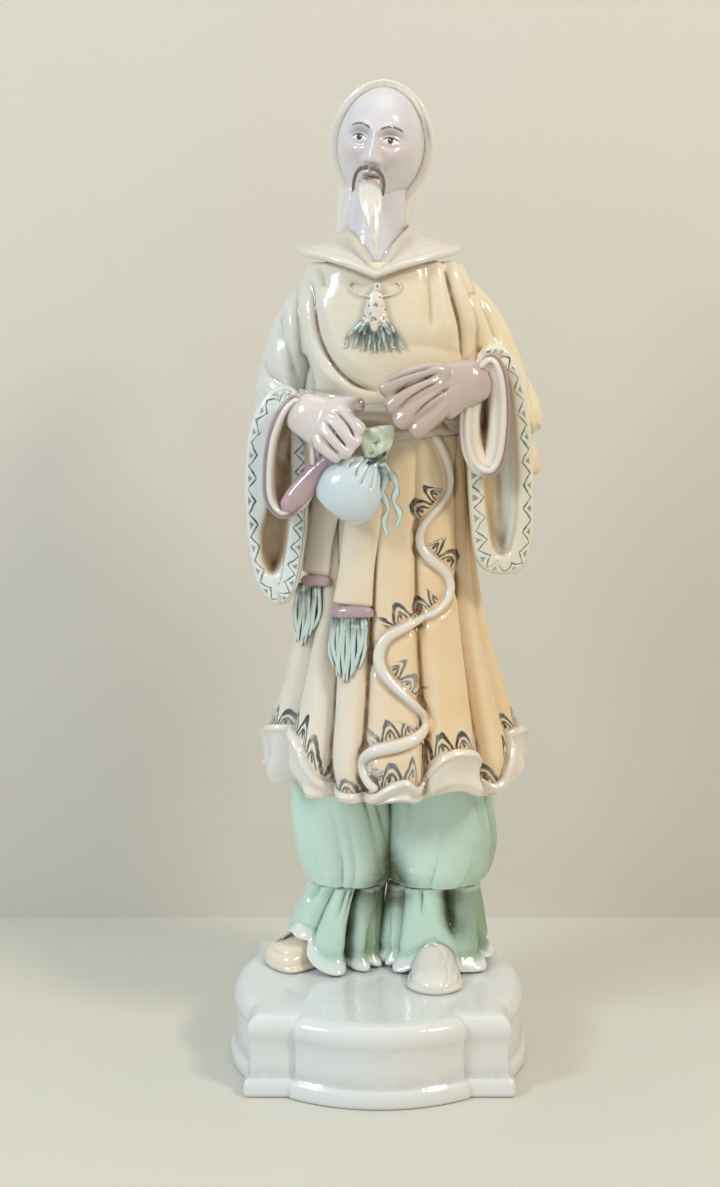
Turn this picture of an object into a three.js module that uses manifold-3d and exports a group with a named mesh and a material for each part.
// Robed figurine on a serpentine plinth, in glazed earthenware, hollow-cast and luted together.
// Millimetres, +Z up, front towards -Y. The origin is the middle of the plinth's flat underside.
// Left and right in names are the figure's own, so its left is on the +X side.
import * as THREE from 'three';
import { mergeVertices } from 'three/addons/utils/BufferGeometryUtils.js';
import Module from 'manifold-3d';

const wasm = await Module();
wasm.setup();

// Driving dimensions, from the ground up
const joinGap = 0.3;            // slip joint between two luted pieces
const castWall = 5;             // thickness of the cast clay
const plinthHeight = 38;
const plinthHalfWidth = 67.5;   // to the middle of the side lobe
const plinthHalfDepth = 62.5;   // to the middle of the bow
const bowHalfWidth = 38;
const bowRise = 10.5;           // how far the bow swells past its own ends
const blockHalfWidth = 58.5;    // outer face of the corner blocks
const blockSetBack = 2.5;       // corner block behind the end of the bow
const lobeRise = 9;
const lobeHalfDepth = 33;       // half the chord of a side lobe
const footHeight = 8;
const footProud = 3;
const crownHeight = 10;
const crownProud = 1;
const crownRound = 3.5;
const ventRadius = 10;
const ventSetBack = 26;
const drainRadius = 6;          // bores that join the hollows of plinth, legs, robe and head
const flounceHeight = 44;
const legShow = 55;             // from the ankle gather to the hem of the robe
const legTuck = 12;             // how far the trouser legs run up inside the robe
const legSetBack = 17;          // the ankles stand behind the middle of the plinth
const legLean = 8;              // the legs lean forward into the robe by this much
const skirtLength = 163;
const hemHalfWidth = 60;
const hemHalfDepth = 44;
const waistHalfWidth = 36;
const waistHalfDepth = 27;
const foldDepth = 6;
const hemRollRadius = 2.6;
const sashHalfHeight = 8;
const sashThickness = 4;
const torsoHeight = 72;
const chestHalfWidth = 41;
const chestHalfDepth = 30;
const neckRadius = 13.5;
const neckLength = 27;
const neckBoreX = -1;
const headHalfWidth = 18.5;
const headHalfDepth = 21;
const headHalfHeight = 26;
const capThickness = 2;
const collarReach = 36;
const collarThickness = 4;
const collarDepthShare = 0.84;  // the collar is that much less deep than wide
const sleeveDrop = 98;          // height of the hanging mouth of an outer sleeve
const sleeveHalfWidth = 13.5;
const sleeveWall = 3;
const cuffDrop = 54;
const cuffHalfWidth = 11.5;
const cuffWall = 4;
const handScale = 1;
const pouchRadius = 14;
const tailThickness = 2.2;
const bandHeight = 6;
const edgingRadius = 2.3;
const coreStep = 1;             // how far one hollow runs into the next, so that they join
const trimGap = 0.25;           // play of a ring that is slipped over the robe

// Heights worked out from them
const ankleZ = plinthHeight + flounceHeight;
const hemZ = ankleZ + legShow;
const webZ = hemZ + legTuck;
const waistZ = hemZ + skirtLength;
const neckZ = waistZ + torsoHeight;
const headZ = neckZ + neckLength + headHalfHeight - 1;
const hemCentreX = 7;
const waistCentreX = 4;
const shoulderCentreX = 2.5;
const bodyY = 1;                // the robe's own axis, seen from the side
const rightLegX = -19;
const leftLegX = 30;

const front = -Math.PI / 2;
const degrees = THREE.MathUtils.degToRad;
const lerp = THREE.MathUtils.lerp;
const at = (x, y, z) => new THREE.Vector3(x, y, z);
const fromWaist = (x, y, z) => at(waistCentreX + x, y, waistZ + z);

// Value at x of a smooth curve through [x, value] pairs.
function through(pairs, x) {
  const last = pairs.length - 1;
  if (x <= pairs[0][0]) return pairs[0][1];
  if (x >= pairs[last][0]) return pairs[last][1];
  let i = 0;
  while (x > pairs[i + 1][0]) i += 1;
  const slope = (a, b) => (pairs[b][1] - pairs[a][1]) / (pairs[b][0] - pairs[a][0]);
  const span = pairs[i + 1][0] - pairs[i][0];
  const start = slope(Math.max(i - 1, 0), i + 1) * span;
  const end = slope(i, Math.min(i + 2, last)) * span;
  const t = (x - pairs[i][0]) / span;
  const rise = pairs[i + 1][1] - pairs[i][1];
  return pairs[i][1] + t * (start + t * (3 * rise - 2 * start - end + t * (start + end - 2 * rise)));
}

// Bump of height 1 and the given half-width, on an angle or a length.
const bump = (x, middle, halfWidth) => Math.exp(-(((x - middle) / halfWidth) ** 2));
const turnFrom = (turn, middle) => Math.atan2(Math.sin(turn - middle), Math.cos(turn - middle));

// Width between the narrow and the wide end of a robe's form, whose profile runs from 0.62 to 1.
const narrowest = 0.62;
function between(profile, t, narrow, wide) {
  return lerp(narrow, wide, (through(profile, t) - narrowest) / (1 - narrowest));
}

// Leaves one closed skin of shared vertices with its faces outward.
function closed(geometry) {
  geometry.deleteAttribute('normal');
  geometry.deleteAttribute('uv');
  const merged = mergeVertices(geometry, 1e-3);
  const points = merged.attributes.position;
  const [a, b, c] = [at(0, 0, 0), at(0, 0, 0), at(0, 0, 0)];
  const kept = [];
  let volume = 0;
  for (let i = 0; i < merged.index.count; i += 3) {
    const face = [0, 1, 2].map((k) => merged.index.getX(i + k));
    if (face[0] === face[1] || face[1] === face[2] || face[2] === face[0]) continue;
    a.fromBufferAttribute(points, face[0]);
    b.fromBufferAttribute(points, face[1]);
    c.fromBufferAttribute(points, face[2]);
    volume += a.dot(b.cross(c));
    kept.push(face);
  }
  merged.setIndex(kept.flatMap((face) => (volume < 0 ? [face[0], face[2], face[1]] : face)));
  merged.computeVertexNormals();
  return merged;
}

// A turned form whose every point is put in place by its turn, height and reach.
function turned(profile, sides, place) {
  const geometry = new THREE.LatheGeometry(profile, sides);
  const points = geometry.attributes.position;
  for (let i = 0; i < points.count; i += 1) {
    const [x, y, z] = [points.getX(i), points.getY(i), points.getZ(i)];
    const spot = place(Math.atan2(x, z), y, Math.hypot(x, z));
    points.setXYZ(i, spot.x, spot.y, spot.z);
  }
  return closed(geometry);
}

// A standing form from its foot (t = 0) to its top (t = 1), with flat ends.
function standing(rows, sides, section) {
  const profile = [new THREE.Vector2(0, 0)];
  for (let i = 0; i <= rows; i += 1) profile.push(new THREE.Vector2(1, i / rows));
  profile.push(new THREE.Vector2(0, 1));
  return turned(profile, sides, (turn, t, reach) => {
    const { centre, halfX, halfY } = section(t, turn);
    return at(centre.x + reach * halfX * Math.cos(turn), centre.y + reach * halfY * Math.sin(turn), centre.z);
  });
}

// A ring round an opening: the section is a closed loop of [out, up] steps from the ring's own line.
function ringed(section, sides, place) {
  const away = 10;
  const loop = [...section, section[0]].map(([out, up]) => new THREE.Vector2(away + out, up));
  return turned(loop, sides, (turn, up, reach) => place(turn, reach - away, up));
}

// A limb along a smooth curve, with round ends. The section is half(t) = [towards face, across it].
function limb(spots, half, options = {}) {
  const { face = at(0, 1, 0), sides = 10, steps = 10, tip = 0.08, corner = 1, capRows = 2 } = options;
  const curve = new THREE.CatmullRomCurve3(spots);
  const cap = Array.from({ length: capRows + 1 }, (_, i) => (i / capRows) * (Math.PI / 2));
  const profile = cap.map((q) => new THREE.Vector2(Math.sin(q), tip * (1 - Math.cos(q))));
  for (let i = 1; i < steps; i += 1) profile.push(new THREE.Vector2(1, lerp(tip, 1 - tip, i / steps)));
  profile.push(...cap.reverse().map((q) => new THREE.Vector2(Math.sin(q), 1 - tip * (1 - Math.cos(q)))));
  const squared = (value) => Math.sign(value) * Math.abs(value) ** corner;
  return turned(profile, sides, (turn, t, reach) => {
    const along = curve.getTangentAt(THREE.MathUtils.clamp(t, 0, 1));
    const out = face.clone().addScaledVector(along, -face.dot(along)).normalize();
    const across = along.clone().cross(out);
    const [halfOut, halfAcross] = half(t);
    return curve.getPointAt(THREE.MathUtils.clamp(t, 0, 1))
      .addScaledVector(out, reach * halfOut * squared(Math.cos(turn)))
      .addScaledVector(across, reach * halfAcross * squared(Math.sin(turn)));
  });
}

const taper = (from, to) => (t) => [lerp(from, to, t), lerp(from, to, t)];

function moved(geometry, matrix) {
  return closed(geometry.clone().applyMatrix4(matrix));
}

// The same skin grown by a distance, or shrunk by a negative one.
function grown(geometry, distance) {
  const copy = geometry.clone();
  const points = copy.attributes.position;
  const normals = geometry.attributes.normal;
  for (let i = 0; i < points.count; i += 1) {
    points.setXYZ(
      i,
      points.getX(i) + distance * normals.getX(i),
      points.getY(i) + distance * normals.getY(i),
      points.getZ(i) + distance * normals.getZ(i),
    );
  }
  return copy;
}

function solid(geometry) {
  return new wasm.Manifold(new wasm.Mesh({
    numProp: 3,
    vertProperties: new Float32Array(geometry.attributes.position.array),
    triVerts: new Uint32Array(geometry.index.array),
  }));
}

const joined = (geometries) => geometries.map(solid).reduce((whole, next) => whole.add(next));

function skinOf(whole) {
  const mesh = whole.getMesh();
  const geometry = new THREE.BufferGeometry();
  geometry.setAttribute('position', new THREE.BufferAttribute(new Float32Array(mesh.vertProperties), 3));
  geometry.setIndex(Array.from(mesh.triVerts));
  geometry.computeVertexNormals();
  return geometry;
}

// Where a cut leaves crumbs, the piece is its largest body.
function largest(whole) {
  const bodies = whole.decompose();
  return bodies.reduce((best, next) => (next.volume() > best.volume() ? next : best));
}

const figurine = new THREE.Group();
const placed = [];

// Adds a piece made of joined forms. It gives way to every piece already there, with the joint between.
// A core is a sealed hollow of the casting, and a mouth is an open one that other pieces may enter.
function add(name, look, forms, { cores = [], mouths = [] } = {}) {
  let body = joined(forms);
  let claim = joined(forms.map((form) => grown(form, joinGap)));
  if (cores.length + mouths.length > 0) body = body.subtract(joined([...cores, ...mouths]));
  if (mouths.length > 0) claim = claim.subtract(joined(mouths.map((mouth) => grown(mouth, -joinGap))));
  const box = new THREE.Box3();
  forms.forEach((form) => box.union(new THREE.Box3().setFromBufferAttribute(form.attributes.position)));
  box.expandByScalar(joinGap);
  placed.filter((other) => other.box.intersectsBox(box)).forEach((other) => {
    body = body.subtract(other.claim);
  });
  const mesh = new THREE.Mesh(skinOf(largest(body)), look);
  mesh.name = name;
  figurine.add(mesh);
  placed.push({ box, claim });
}

const glaze = (color) => new THREE.MeshStandardMaterial({ color, roughness: 0.15, metalness: 0 });
const whiteGlaze = () => glaze('#ece4dc');
const robeGlaze = () => glaze('#e9d3b0');
const ivoryGlaze = () => glaze('#ece3cf');
const mintGlaze = () => glaze('#b4d3c0');
const peachGlaze = () => glaze('#e3c6a8');
const fleshGlaze = () => glaze('#dcc7c4');
const mauveGlaze = () => glaze('#b9929f');
const tealGlaze = () => glaze('#7fa096');
const paleBlueGlaze = () => glaze('#dbe2e2');
const brownGlaze = () => glaze('#6d5148');

// Plan of the plinth: a bow front and back, a block at each corner and a lobe each side.
function plinthOutline(grow) {
  const bowRadius = (bowHalfWidth ** 2 + bowRise ** 2) / (2 * bowRise) + grow;
  const bowCentre = plinthHalfDepth + grow - bowRadius;
  const blockFront = plinthHalfDepth - bowRise - blockSetBack + grow;
  const lobeRadius = (lobeHalfDepth ** 2 + lobeRise ** 2) / (2 * lobeRise) + grow;
  const lobeCentre = plinthHalfWidth + grow - lobeRadius;
  const [bowSteps, lobeSteps] = [4, 3];
  const quarter = [];
  for (let i = 0; i <= bowSteps; i += 1) {
    const x = ((bowHalfWidth + grow) * i) / bowSteps;
    quarter.push([x, bowCentre + Math.sqrt(bowRadius ** 2 - x ** 2)]);
  }
  quarter.push([bowHalfWidth + grow, blockFront], [blockHalfWidth + grow, blockFront]);
  const reach = Math.sqrt(lobeRadius ** 2 - (blockHalfWidth + grow - lobeCentre) ** 2);
  for (let i = 0; i <= lobeSteps; i += 1) {
    const y = reach * (1 - i / lobeSteps);
    quarter.push([lobeCentre + Math.sqrt(lobeRadius ** 2 - y ** 2), y]);
  }
  const loop = [
    ...quarter,
    ...quarter.slice(0, -1).reverse().map(([x, y]) => [x, -y]),
    ...quarter.slice(1).map(([x, y]) => [-x, -y]),
    ...quarter.slice(1, -1).reverse().map(([x, y]) => [-x, y]),
  ];
  return new THREE.Shape(loop.map(([x, y]) => new THREE.Vector2(x, y)));
}

function slab(grow, low, high, round = 0) {
  const geometry = new THREE.ExtrudeGeometry(plinthOutline(grow), {
    depth: high - low - 2 * round,
    bevelEnabled: round > 0,
    bevelThickness: round,
    bevelSize: round,
    bevelOffset: -round,
    bevelSegments: 2,
  });
  return closed(geometry.translate(0, 0, low + round));
}

function bore(x, y, low, high, radius) {
  const geometry = new THREE.CylinderGeometry(radius, radius, high - low, 10);
  return closed(geometry.rotateX(Math.PI / 2).translate(x, y, (low + high) / 2));
}

function addPlinth() {
  const crownLow = plinthHeight - crownHeight;
  add('plinth', whiteGlaze(), [
    slab(footProud, 0, footHeight),
    slab(0, 0, crownLow + crownRound),
    slab(crownProud, crownLow, plinthHeight, crownRound),
  ], {
    cores: [
      slab(-castWall, castWall, plinthHeight - castWall),
      bore(0, ventSetBack, -1, castWall + 1, ventRadius),
      bore(rightLegX, legSetBack, plinthHeight - castWall - 1, plinthHeight + 1, drainRadius),
      bore(leftLegX, legSetBack, plinthHeight - castWall - 1, plinthHeight + 1, drainRadius),
    ],
  });
}

// A blunt slipper: heel, instep and toe on a line over the plinth, with a sole wider than the upper.
function addShoe(name, look, heel, toe, halfWidth, instepHeight) {
  const line = [heel, heel.clone().lerp(toe, 0.55), toe];
  const rise = (t) => instepHeight * through([[0, 0.8], [0.3, 1], [0.7, 0.72], [1, 0.45]], t);
  const breadth = (t) => halfWidth * through([[0, 0.8], [0.35, 0.9], [0.75, 1], [1, 0.8]], t);
  const sole = 3;
  add(name, look, [
    limb(line, (t) => [rise(t), breadth(t)], { face: at(0, 0, 1), sides: 12, steps: 5, tip: 0.16 }),
    limb(line, (t) => [sole, breadth(t) + 1.2], { face: at(0, 0, 1), sides: 12, steps: 5, tip: 0.16 }),
  ]);
}

// Pleated trouser end below the gather, standing on the plinth.
function addFlounce(name, x, halfWidth, pleats) {
  const spread = (t) => through([[0, 1], [0.35, 0.94], [0.75, 0.74], [1, 0.66]], t);
  const halfDepth = 19;
  const form = standing(3, pleats * 3, (t, turn) => {
    const pleat = 1 - 0.1 * (1 - Math.cos(pleats * turn)) * (0.5 + 0.5 * (1 - t));
    return {
      centre: at(x + 2 * t, legSetBack, lerp(plinthHeight - 1, ankleZ, t)),
      halfX: halfWidth * spread(t) * pleat,
      halfY: halfDepth * spread(t) * pleat,
    };
  });
  add(name, mintGlaze(), [form], { cores: [bore(x, legSetBack, plinthHeight - 2, ankleZ + 1, drainRadius)] });
}

// Ballooned trouser leg from the gather up into the robe.
function addLeg(name, x, halfWidth, creases) {
  const top = webZ + 1;
  const swell = (t) => through([[0, 0.68], [0.1, 0.84], [0.3, 1], [0.55, 0.97], [0.8, 0.88], [1, 0.86]], t);
  const halfDepth = 20.5;
  const form = standing(6, 22, (t, turn) => {
    const dents = creases.map(([angle, deep]) => deep * bump(turnFrom(turn, degrees(angle)), 0, 0.16));
    const size = swell(t) - dents.reduce((sum, dent) => sum + dent, 0) * (1 - 0.6 * t);
    return {
      centre: at(x, legSetBack - legLean * t, lerp(ankleZ - 2, top, t)),
      halfX: halfWidth * size,
      halfY: halfDepth * size,
    };
  });
  const core = bore(x, legSetBack - legLean / 2, ankleZ - 3, top + coreStep, drainRadius);
  add(name, mintGlaze(), [form], { cores: [core] });
}

// Creases of the robe below the waist: [angle, share of the full depth, half-width of the crease].
const skirtCreases = [
  [-151, 0.8, 7], [-121, 1, 6], [-105, 0.7, 5], [-76, 0.9, 6], [-48, 1, 6], [-22, 0.7, 8],
  [14, 0.8, 7], [36, 0.7, 8], [58, 0.8, 7], [82, 0.7, 8], [106, 0.8, 7], [130, 0.7, 8], [154, 0.8, 7],
  [173, 0.7, 7],
];
const skirtFlare = [[0, 1], [0.09, 1.05], [0.23, 0.9], [0.52, 0.7], [0.75, 0.645], [1, 0.62]];

function skirtSection(t, turn, inset = 0) {
  const crease = skirtCreases.reduce(
    (sum, [angle, share, width]) => sum + share * bump(turnFrom(turn, degrees(angle)), 0, degrees(width)), 0);
  const fade = through([[0, 1], [0.5, 0.6], [0.9, 0.2], [1, 0]], t);
  const depth = foldDepth * fade * crease + inset;
  return {
    centre: at(lerp(hemCentreX, waistCentreX, t), bodyY, lerp(hemZ, waistZ, t)),
    halfX: between(skirtFlare, t, waistHalfWidth, hemHalfWidth) - depth,
    halfY: between(skirtFlare, t, waistHalfDepth, hemHalfDepth) - depth,
  };
}

// A spot on the front of the robe's skirt, by its distance from the middle line and its height share.
function onSkirt(x, t, lift) {
  const bare = skirtSection(t, front);
  const turn = front + Math.asin(THREE.MathUtils.clamp((x - bare.centre.x) / bare.halfX, -0.98, 0.98));
  const { centre, halfX, halfY } = skirtSection(t, turn);
  const normal = at(Math.cos(turn) / halfX, Math.sin(turn) / halfY, 0).normalize();
  return at(centre.x + halfX * Math.cos(turn), centre.y + halfY * Math.sin(turn), centre.z)
    .addScaledVector(normal, lift);
}

function addSkirt() {
  const outer = standing(6, 60, (t, turn) => skirtSection(t, turn));
  const webShare = (legTuck + castWall) / skirtLength;
  const clear = castWall + foldDepth;
  const recess = standing(1, 16, (t) => ({
    centre: at(hemCentreX, bodyY, lerp(hemZ - coreStep, webZ, t)),
    halfX: hemHalfWidth - clear,
    halfY: hemHalfDepth - clear,
  }));
  const upper = standing(3, 14, (t) => {
    const share = lerp(webShare, 1, t);
    const inset = lerp(clear, castWall, t) + coreStep;
    return {
      centre: at(lerp(hemCentreX, waistCentreX, share), bodyY, lerp(hemZ, waistZ, share) + coreStep * t),
      halfX: between(skirtFlare, share, waistHalfWidth, hemHalfWidth) - inset,
      halfY: between(skirtFlare, share, waistHalfDepth, hemHalfDepth) - inset,
    };
  });
  const webTop = webZ + castWall;
  const legBore = (x) => bore(x, legSetBack - legLean, webZ - coreStep, webTop + coreStep, drainRadius);
  add('robe_skirt', robeGlaze(), [outer], {
    cores: [
      upper,
      legBore(rightLegX + 2),
      legBore(leftLegX - 2),
    ],
    mouths: [recess],
  });
}

function addHemRoll() {
  const r = hemRollRadius;
  const section = [[-r, 0], [r * 0.6, 0], [r, -r * 0.7], [r * 0.3, -1.6 * r], [-r * 0.7, -1.5 * r]];
  const form = ringed(section, 60, (turn, out, up) => {
    const { centre, halfX, halfY } = skirtSection(0, turn, r * 0.4);
    return at(
      centre.x + (halfX + out) * Math.cos(turn),
      centre.y + (halfY + out) * Math.sin(turn),
      centre.z - joinGap - trimGap + up,
    );
  });
  add('hem_roll', ivoryGlaze(), [form]);
}

const torsoShape = [[0, 0.62], [0.2, 0.86], [0.5, 1], [0.75, 0.94], [0.9, 0.7], [1, 0.46]];

function torsoSection(t, turn) {
  const drape = 1.6 * Math.sin(Math.PI * t) * Math.cos(7 * turn);
  return {
    centre: at(lerp(waistCentreX, shoulderCentreX, t), bodyY, lerp(waistZ, neckZ, t)),
    halfX: between(torsoShape, t, waistHalfWidth, chestHalfWidth) - drape,
    halfY: between(torsoShape, t, waistHalfDepth, chestHalfDepth) - drape,
  };
}

function onChest(x, t, lift) {
  const bare = torsoSection(t, front);
  const turn = front + Math.asin(THREE.MathUtils.clamp((x - bare.centre.x) / bare.halfX, -0.98, 0.98));
  const { centre, halfX, halfY } = torsoSection(t, turn);
  const normal = at(Math.cos(turn) / halfX, Math.sin(turn) / halfY, 0).normalize();
  return at(centre.x + halfX * Math.cos(turn), centre.y + halfY * Math.sin(turn), centre.z)
    .addScaledVector(normal, lift);
}

function addTorso() {
  const inset = castWall + 2;
  const roof = neckZ - 2 * castWall;
  const inner = standing(3, 14, (t) => {
    const share = lerp(0, 0.86, t);
    return {
      centre: at(lerp(waistCentreX, shoulderCentreX, t), bodyY, lerp(waistZ - coreStep, roof, t)),
      halfX: between(torsoShape, share, waistHalfWidth, chestHalfWidth) - inset,
      halfY: between(torsoShape, share, waistHalfDepth, chestHalfDepth) - inset,
    };
  });
  add('torso', robeGlaze(), [standing(7, 30, torsoSection)], {
    cores: [inner, bore(neckBoreX, bodyY, roof - 2 * coreStep, neckZ + coreStep, drainRadius)],
  });
}

// Sash wound round the waist, with two grooves between its turns.
function addSash() {
  const h = sashHalfHeight;
  const groove = 1;
  const section = [
    [0, -h], [sashThickness - 1, -h], [sashThickness, -0.4 * h], [sashThickness - groove, 0],
    [sashThickness, 0.4 * h], [sashThickness - 1, h], [0, h], [0, 0],
  ];
  const form = ringed(section, 30, (turn, out, up) => {
    const seat = up > 0 ? torsoSection(up / torsoHeight, turn) : skirtSection(1 + up / skirtLength, turn);
    const clear = joinGap + trimGap;
    return at(
      seat.centre.x + (seat.halfX + clear + out) * Math.cos(turn),
      seat.centre.y + (seat.halfY + clear + out) * Math.sin(turn),
      waistZ + up,
    );
  });
  add('waist_sash', ivoryGlaze(), [form]);
}

// The head's own frame: the face looks towards -Y, the chin is down. It then tips and turns.
const headPose = new THREE.Matrix4().makeTranslation(1, 0, headZ)
  .multiply(new THREE.Matrix4().makeRotationY(degrees(6)))
  .multiply(new THREE.Matrix4().makeRotationZ(degrees(-10)));
const jaw = [[0, 0.6], [0.12, 0.8], [0.3, 0.9], [0.55, 1], [0.8, 0.98], [1, 0.95]];

function headForm(grow, withFace) {
  const rows = 14;
  const profile = Array.from({ length: rows + 1 }, (_, i) => {
    const q = (Math.PI * i) / rows;
    return new THREE.Vector2(Math.sin(q), -Math.cos(q));
  });
  return turned(profile, 24, (turn, up, reach) => {
    const t = (up + 1) / 2;
    const facing = Math.max(0, -Math.sin(turn) * reach);
    const x = reach * Math.cos(turn) * (headHalfWidth * through(jaw, t) + grow);
    const z = up * (headHalfHeight + grow);
    let y = reach * Math.sin(turn) * (headHalfDepth * through([[0, 0.8], [0.5, 1], [1, 1]], t) + grow);
    if (withFace) {
      const nose = 6.5 * bump(x, 0, 3.2) * through([[-12, 0], [-9, 1], [-2, 0.55], [5, 0.1], [8, 0]], z);
      const eyes = 2.4 * (bump(x, 7, 4) + bump(x, -7, 4)) * bump(z, 0, 3.4);
      const brow = 1.4 * bump(z, 5, 2.6) * bump(x, 0, 12);
      const mouth = 1.2 * bump(z, -15, 3.5) * bump(x, 0, 6);
      const chin = 8 * bump(z, -22, 5) * bump(x, 0, 9);
      y -= facing * (nose - eyes + brow + mouth + chin);
    }
    return at(x, y, z);
  });
}

function addHead() {
  const neck = limb([at(-2, 2, neckZ - 2), at(-2, 2, neckZ + 12), at(-1, 1, neckZ + neckLength + 8)],
    () => [neckRadius, neckRadius], { sides: 16, steps: 2, tip: 0.05 });
  const hollow = new THREE.SphereGeometry(headHalfWidth - castWall - 2, 12, 8);
  add('head', fleshGlaze(), [moved(headForm(0, true), headPose), neck], {
    cores: [moved(hollow, headPose), bore(neckBoreX, bodyY, neckZ - 3, headZ, drainRadius)],
  });
}

// Close cap over the crown and the nape, open in front of a slanting plane.
function addCap() {
  const opening = new THREE.BoxGeometry(100, 60, 120);
  const tilt = new THREE.Matrix4().makeRotationX(degrees(14));
  opening.translate(0, -30, 0).applyMatrix4(tilt).translate(0, -3, 0);
  const nape = limb([at(0, 12, 6), at(0, 14, -14), at(-1, 13, -36)], () => [8, 14],
    { sides: 12, steps: 4, tip: 0.1 });
  add('skull_cap', ivoryGlaze(), [
    moved(headForm(capThickness + joinGap, false), headPose), moved(nape, headPose),
  ], { mouths: [moved(opening, headPose)] });
}

function addFaceHair() {
  const lip = -headHalfHeight * 0.5;
  const face = -headHalfDepth * 0.9;
  const whiskers = limb([
    at(-8.5, face + 5, lip - 9), at(-7, face + 2, lip - 3), at(-3.5, face - 1.5, lip + 0.5),
    at(0, face - 2.4, lip + 0.8),
    at(3.5, face - 1.5, lip + 0.5), at(7, face + 2, lip - 3), at(8.5, face + 5, lip - 9),
  ], (t) => [0.6 + 1.6 * Math.sin(Math.PI * t), 0.6 + 1.4 * Math.sin(Math.PI * t)],
    { sides: 5, steps: 10, tip: 0.03, capRows: 1 });
  add('moustache', brownGlaze(), [moved(whiskers, headPose)]);
  const chin = at(0, face * 0.78, -headHalfHeight + 5).applyMatrix4(headPose);
  const collarDip = at(-1, -collarReach * collarDepthShare + 5, neckZ + 1);
  const hang = (t, forward) => chin.clone().lerp(collarDip, t).add(at(0, -forward, 0));
  const goatee = limb([chin, hang(0.3, 2.5), hang(0.65, 2), collarDip],
    (t) => [4 - 2 * t, 5.5 - 3.8 * t], { sides: 8, steps: 6, tip: 0.06 });
  add('goatee', ivoryGlaze(), [goatee]);
}

// Wide turned-down collar with a thick rim, lowest in front and highest behind.
function addCollar() {
  const inner = neckRadius - 1;
  const band = collarThickness;
  const reach = collarReach - inner;
  const section = [
    [0, 0], [0.75 * reach, -1], [reach - band * 0.4, -0.6], [reach, -band * 0.5],
    [reach - band * 0.4, -band - 0.4], [0.75 * reach, -band - 2], [0, -band - 6],
  ];
  const form = ringed(section, 26, (turn, out, up) => {
    const share = out / reach;
    const side = Math.abs(Math.cos(turn));
    const reachHere = lerp(collarDepthShare, 1, side) * out;
    const dip = -10 * share * bump(turnFrom(turn, front), 0, 0.75);
    const back = 6 * share * bump(turnFrom(turn, -front), 0, 1);
    return at(
      (inner + reachHere) * Math.cos(turn),
      bodyY + (inner + reachHere) * Math.sin(turn),
      neckZ + 9 + up - 3 * share + dip + back,
    );
  });
  add('collar', ivoryGlaze(), [form]);
}

// Outer sleeve: an arm from the shoulder, and a hanging bell whose mouth faces forward.
function addSleeve(name, { side, shoulder, elbow, mouthX, mouthTop, drapes }) {
  const half = sleeveDrop / 2;
  const mouth = fromWaist(mouthX, -21, mouthTop - half);
  const rear = fromWaist(mouthX - side * 3, 20, mouthTop - 40);
  const along = (t) => rear.clone().lerp(mouth, t);
  const bell = limb([rear, along(0.5), mouth], (t) => [
    sleeveHalfWidth * through([[0, 0.5], [0.4, 0.85], [1, 1]], t),
    half * through([[0, 0.58], [0.4, 0.84], [1, 1]], t),
  ], { face: at(1, 0, 0), sides: 20, steps: 4, tip: 0.03, corner: 0.8 });
  const arm = limb([shoulder, shoulder.clone().lerp(elbow, 0.5).add(at(side * 3, 0, 0)), elbow],
    (t) => [lerp(16, 18, t), 13], { sides: 12, steps: 4, tip: 0.14 });
  const lobes = drapes.map(([height, size]) => limb([
    fromWaist(mouthX + side * 8, 14, height + 4),
    fromWaist(mouthX + side * 11, 0, height),
    fromWaist(mouthX + side * 9, -14, height + 2),
  ], (t) => [size * Math.sin(Math.PI * (0.2 + 0.6 * t)), 1.5 * size],
    { face: at(1, 0, 0), sides: 7, steps: 2, tip: 0.15 }));
  const hollow = limb([along(0.3), along(0.65), mouth.clone().add(at(0, -4, 0))], (t) => [
    sleeveHalfWidth * lerp(0.75, 1, t) - sleeveWall,
    half * lerp(0.7, 1, t) - sleeveWall,
  ], { face: at(1, 0, 0), sides: 16, steps: 2, tip: 0.03, corner: 0.8, capRows: 1 });
  add(name, robeGlaze(), [bell, arm, ...lobes], { mouths: [hollow] });
}

// Under-sleeve: a thick-rimmed loop that hangs inside the outer sleeve's mouth.
function addCuff(name, centre, rear, tilt) {
  const face = at(Math.cos(degrees(tilt)), 0, Math.sin(degrees(tilt)));
  const form = limb([rear, rear.clone().lerp(centre, 0.5), centre], (t) => [
    cuffHalfWidth * lerp(0.8, 1, t), (cuffDrop / 2) * lerp(0.8, 1, t),
  ], { face, sides: 14, steps: 3, tip: 0.06 });
  const along = (t) => rear.clone().lerp(centre, t);
  const hollow = limb([along(0.45), along(0.75), centre.clone().add(at(0, -4, 0))], (t) => [
    cuffHalfWidth * lerp(0.85, 1, t) - cuffWall, (cuffDrop / 2) * lerp(0.85, 1, t) - cuffWall,
  ], { face, sides: 12, steps: 2, tip: 0.06, capRows: 1 });
  add(name, ivoryGlaze(), [form], { mouths: [hollow] });
}

// A hand from its wrist: a flat palm and digits, each [knuckle, middle, tip, radius].
function addHand(name, wrist, palm, digits) {
  const spot = ([x, y, z]) => wrist.clone().add(at(x, y, z).multiplyScalar(handScale));
  const forearm = limb([spot(palm.elbow), wrist, spot(palm.heel)],
    (t) => [6 * handScale, lerp(8, 7.5, t) * handScale], { sides: 8, steps: 2, tip: 0.12 });
  const back = limb([wrist, spot(palm.heel), spot(palm.knuckles)], (t) => [
    lerp(6, 4.6, t) * handScale, lerp(7.5, 9.5, t) * handScale,
  ], { sides: 8, steps: 3, tip: 0.14 });
  const fingers = digits.map(([knuckle, middle, tip, radius]) => limb(
    [spot(palm.knuckles).lerp(spot(knuckle), 0.6), spot(knuckle), spot(middle), spot(tip)],
    taper(radius * handScale, radius * 0.8 * handScale), { sides: 5, steps: 3, tip: 0.1 }));
  add(name, fleshGlaze(), [forearm, back, ...fingers]);
}

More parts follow.
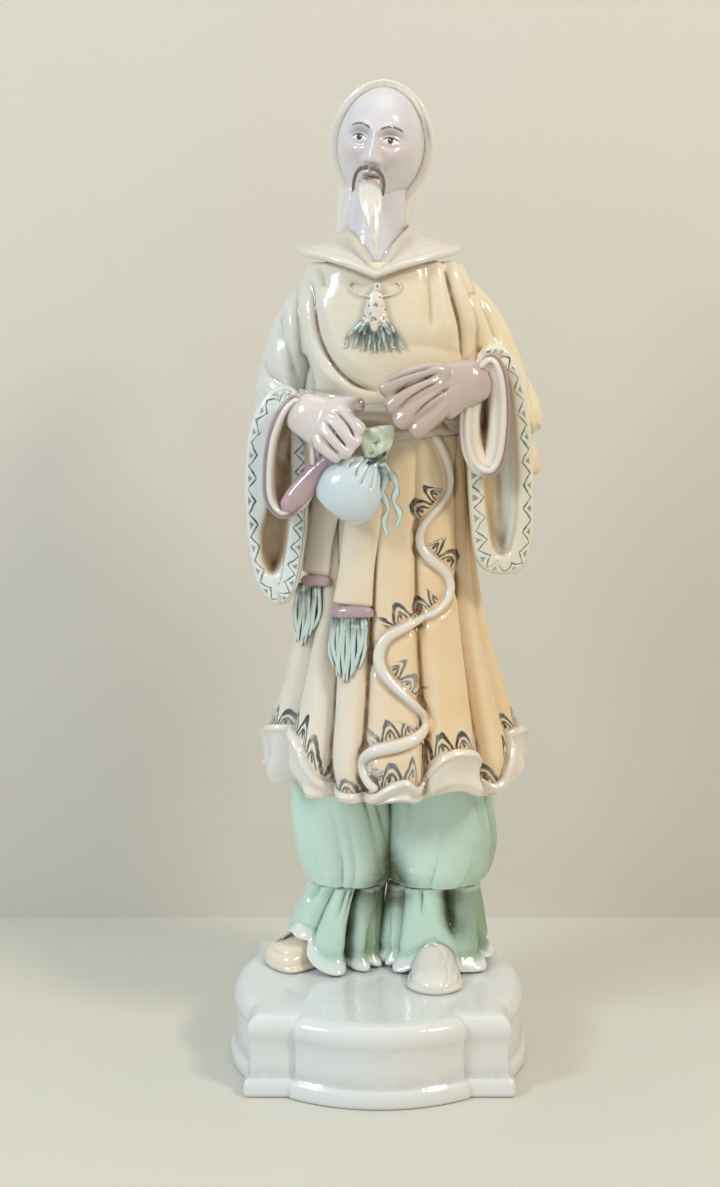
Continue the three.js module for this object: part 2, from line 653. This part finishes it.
function addRightHand() {
  addHand('right_hand', fromWaist(-37, -35, 8), {
    elbow: [-2, 22, 2], heel: [8, -3, -1], knuckles: [17, -6, -4],
  }, [
    [[22, -9, 2], [28, -11, -4], [32, -11, -9], 3.1],
    [[20, -9.5, -2.5], [26, -12, -8], [30.5, -12, -13], 3],
    [[17.5, -9.5, -7], [23, -12, -12.5], [28, -12, -17], 2.9],
    [[14.5, -8.5, -11], [20, -11, -15.5], [24.5, -11, -19.5], 2.6],
    [[15, -6, 5], [22, -9, 8], [30, -9, 7.5], 3],
  ]);
}

function addLeftHand() {
  addHand('left_hand', fromWaist(38, -35, 22), {
    elbow: [2, 22, 3], heel: [-8, -2, -1], knuckles: [-16, -4, -3],
  }, [
    [[-14, -4, 5], [-26, -6, 3], [-37, -6, -5], 2.9],
    [[-17, -6, 1], [-29, -8, -4], [-37, -8, -11], 3],
    [[-16, -7, -3.5], [-25, -9, -10], [-31, -9, -16], 3],
    [[-12, -6, -8], [-19, -8, -14.5], [-24, -8, -20], 2.8],
  ]);
}

// Roll of the under-sleeve's lining that shows below the right hand.
function addCuffLining() {
  add('right_cuff_lining', mauveGlaze(), [limb(
    [fromWaist(-23, -36, -12), fromWaist(-32, -35, -20), fromWaist(-42, -34, -33)],
    (t) => [5, lerp(6, 4.5, t)], { sides: 10, steps: 4, tip: 0.12 })]);
}

function addPouch() {
  const foot = fromWaist(-24, -37, -35);
  const neck = fromWaist(-6.5, -41, -11.5);
  const axis = neck.clone().sub(foot).normalize();
  const size = pouchRadius;
  const belly = [[0, 0.55], [0.15, 0.9], [0.42, 1.02], [0.7, 0.82], [0.9, 0.52], [1, 0.42]];
  add('pouch', paleBlueGlaze(), [limb([foot, foot.clone().lerp(neck, 0.5), neck], (t) => {
    const half = size * through(belly, t);
    return [half * 0.72, half];
  }, { sides: 14, steps: 7, tip: 0.12 })]);
  const frillEnd = neck.clone().addScaledVector(axis, 9);
  add('pouch_frill', tealGlaze(), [limb([neck, frillEnd], (t) => {
    const half = size * lerp(0.36, 0.6, t);
    return [half * 0.75, half];
  }, { sides: 12, steps: 2, tip: 0.12 })]);
  const knot = neck.clone().add(at(4, -2.5, -3));
  const cord = (name, spots) => add(name, tealGlaze(), [limb(
    [knot, ...spots.map(([x, y, z]) => knot.clone().add(at(x, y, z)))],
    taper(1.1, 0.9), { sides: 5, steps: 9, tip: 0.04, capRows: 1 })]);
  cord('pouch_cord_long', [[2, 1, -7], [0, 3, -13], [3, 4.5, -20], [1, 5, -26], [2.4, 5.5, -32]]);
  cord('pouch_cord_short', [[4, 0.5, -5], [6, 2.5, -11], [5, 4, -17], [7.5, 4.5, -23], [6.5, 5, -28]]);
}

// Tail of the sash: a flat band, a coloured end band and a fringe, laid down the front of the robe.
function addTail(prefix, top, end, halfWidth, endHalfWidth, fringeLength, strands) {
  const lift = tailThickness * 0.5;
  const way = [0, 0.33, 0.66, 1].map((k) => onSkirt(lerp(top[0], end[0], k), lerp(top[1], end[1], k), lift));
  add(`${prefix}_tail`, robeGlaze(), [limb(way, (t) => [tailThickness, lerp(halfWidth, endHalfWidth, t)],
    { face: at(0, -1, 0), sides: 8, steps: 4, tip: 0.03 })]);
  const bandShare = bandHeight / skirtLength;
  const bandSpots = [0, 1].map((k) => onSkirt(end[0], end[1] - k * bandShare, lift + 0.4));
  add(`${prefix}_band`, mauveGlaze(), [limb(bandSpots, () => [tailThickness + 1, endHalfWidth + 0.8],
    { face: at(0, -1, 0), sides: 8, steps: 1, tip: 0.2 })]);
  const headShare = end[1] - bandShare;
  const hairs = [];
  for (let i = 0; i < strands; i += 1) {
    const side = (2 * i) / (strands - 1) - 1;
    const length = fringeLength * (1 - 0.18 * Math.abs(side)) / skirtLength;
    const wave = (k) => 0.9 * Math.sin(4 * k + 1.7 * i);
    const spots = [0, 0.25, 0.5, 0.75, 1].map((k) => onSkirt(
      end[0] + side * endHalfWidth * (0.92 - 0.25 * k) + wave(k),
      headShare + 0.012 - k * length,
      lift + 0.6 - 0.5 * k,
    ));
    hairs.push(limb(spots, taper(1.9, 0.9), { sides: 4, steps: 3, tip: 0.04, capRows: 1 }));
  }
  const root = limb(
    [-1, 0, 1].map((side) => onSkirt(end[0] + side * endHalfWidth * 0.9, headShare + 0.004, lift + 0.4)),
    () => [1.7, 1.7], { sides: 5, steps: 2, tip: 0.06, capRows: 1 });
  add(`${prefix}_fringe`, tealGlaze(), [root, ...hairs]);
}

// Turned edge of the robe's front overlap, winding down to the hem: [across, height share].
const edgingRoute = [
  [30, 0.955], [29, 0.87], [21, 0.76], [17, 0.69], [22, 0.6], [31, 0.52], [29, 0.465], [14, 0.43], [1, 0.4],
  [-2, 0.35], [7, 0.27], [19, 0.2], [20, 0.14], [10, 0.1], [-4, 0.075], [-7, 0.04], [-3, 0.005],
];

function addEdging() {
  const spots = edgingRoute.map(([x, t]) => onSkirt(x, t, edgingRadius * 0.45));
  add('front_edging', ivoryGlaze(), [limb(spots, () => [edgingRadius, edgingRadius],
    { face: at(0, -1, 0), sides: 5, steps: 34, tip: 0.01, capRows: 1 })]);
}

// Scrolled clasp on the breast, with a tassel of loose strands: each spot is [across, down from the neck].
function addClasp() {
  const middle = -5;
  const spot = (x, down, lift) => onChest(waistCentreX + middle + x, 1 - down / torsoHeight, lift);
  const body = limb([spot(0, 12, 1), spot(0, 20, 2.2), spot(-0.5, 29, 1.4)],
    (t) => [lerp(2.6, 2, t), through([[0, 3], [0.35, 5], [1, 2.2]], t)], { sides: 7, steps: 3, tip: 0.1 });
  const knob = limb([spot(0.5, 14, 2), spot(0.5, 9, 2.4)], taper(2.4, 2.2), { sides: 8, steps: 1, tip: 0.3 });
  const whisker = (side) => limb([
    spot(0, 17, 1.6), spot(side * 5, 15, 1.4), spot(side * 9, 11.5, 1), spot(side * 12, 13, 1),
    spot(side * 11, 15.5, 1),
  ], taper(1.5, 0.9), { sides: 5, steps: 6, tip: 0.04, capRows: 1 });
  add('chest_clasp', ivoryGlaze(), [body, knob, whisker(-1), whisker(1)]);
  const strands = [-2.5, -1.5, -0.5, 0.5, 1.5, 2.5].map((k) => limb([
    spot(-0.5 + k * 0.8, 26, 1), spot(-0.5 + k * 2.4, 31, 1.2), spot(-1 + k * 2.7, 35, 0.8),
    spot(0.2 + k * 3, 38.5 - Math.abs(k) * 0.6, 0.8),
  ], taper(1.5, 0.7), { sides: 4, steps: 3, tip: 0.05, capRows: 1 }));
  add('clasp_tassel', tealGlaze(), strands);
}

const chestX = shoulderCentreX - waistCentreX;
const soleZ = plinthHeight + 1;
addPlinth();
addShoe('right_shoe', peachGlaze(),
  at(rightLegX - 3, legSetBack + 8, soleZ), at(rightLegX - 34, legSetBack - 8, soleZ), 14, 15);
addShoe('left_shoe', peachGlaze(),
  at(leftLegX - 2, legSetBack + 8, soleZ), at(leftLegX - 4, legSetBack - 36, soleZ), 11.5, 18);
addFlounce('right_ankle_flounce', rightLegX - 4, 24, 8);
addFlounce('left_ankle_flounce', leftLegX - 2, 27, 9);
addLeg('right_trouser_leg', rightLegX, 23.6, [[-80, 0.14], [-50, 0.1], [-130, 0.06], [60, 0.1], [120, 0.1]]);
addLeg('left_trouser_leg', leftLegX, 25, [[-60, 0.14], [-30, 0.1], [-115, 0.05], [70, 0.1], [125, 0.1]]);
addSkirt();
addHemRoll();
addTorso();
addSash();
addHead();
addCollar();
addSleeve('right_sleeve', {
  side: -1, mouthX: -50, mouthTop: 20, drapes: [],
  shoulder: fromWaist(chestX - 30, bodyY, 62), elbow: fromWaist(chestX - 44, 6, 2),
});
addSleeve('left_sleeve', {
  side: 1, mouthX: 55, mouthTop: 35, drapes: [[6, 5], [-14, 5], [-32, 5]],
  shoulder: fromWaist(chestX + 28, bodyY, 62), elbow: fromWaist(chestX + 51, 6, 12),
});
addCuff('right_cuff', fromWaist(-43, -36, -12), fromWaist(-43, -12, -8), 14);
addCuff('left_cuff', fromWaist(45, -36, 6), fromWaist(49, -12, 8), -4);
addRightHand();
addLeftHand();
addCuffLining();
addPouch();
addTail('front_sash', [-8, 0.83], [-12.5, 0.545], 7.5, 8.8, 31, 6);
addTail('side_sash', [-22, 0.84], [-29, 0.6], 6, 5.5, 28, 4);
addEdging();
addCap();
addFaceHair();
addClasp();

export default figurine;
